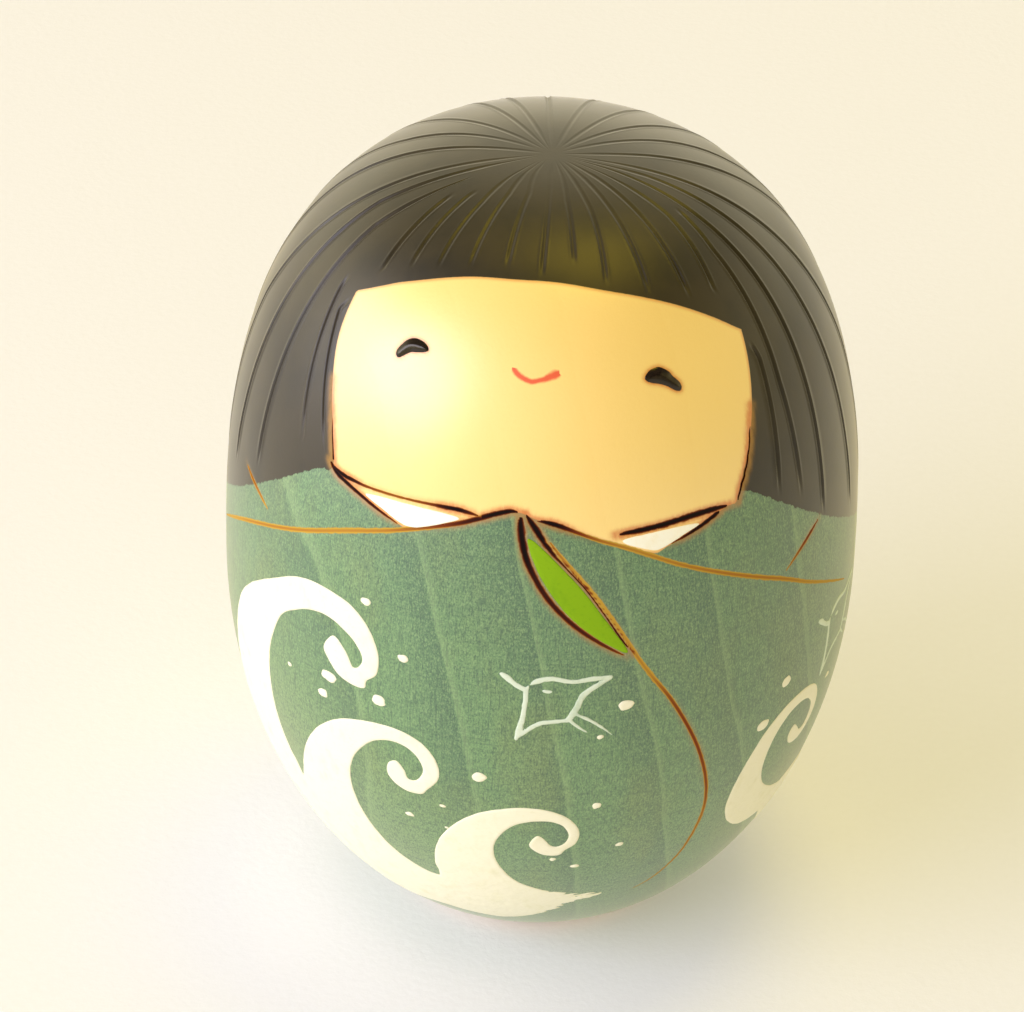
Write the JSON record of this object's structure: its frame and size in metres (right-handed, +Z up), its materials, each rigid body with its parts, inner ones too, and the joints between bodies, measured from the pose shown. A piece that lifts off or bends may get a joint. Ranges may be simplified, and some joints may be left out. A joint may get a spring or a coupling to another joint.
{
  "type": "kokeshi doll",
  "caption": "Egg-shaped turned wooden kokeshi doll with carved hair, painted kimono, plugged relief bore and felt foot pad.",
  "frame": {"origin": "middle of the felt pad's underside, on the surface the doll stands on", "axes": "+Z up along the turning axis, -Y the way the face looks, +X to the right of someone facing the doll"},
  "size_m": [0.08, 0.08, 0.107],
  "materials": {
    "kimono_stain": "transparent green stain over wood, satin clear coat",
    "bare_wood": "bare turned hardwood",
    "felt": "pressed wool felt",
    "white_paint": "opaque brushed paint, slightly raised",
    "lime_paint": "semi-opaque brushed paint",
    "gloss_black": "glossy black lacquer"
  },
  "bodies": {
    "root": {"turned_body": "kimono_stain", "bore_plug": "bare_wood", "felt_pad": "felt"}
  },
  "joints": []
}
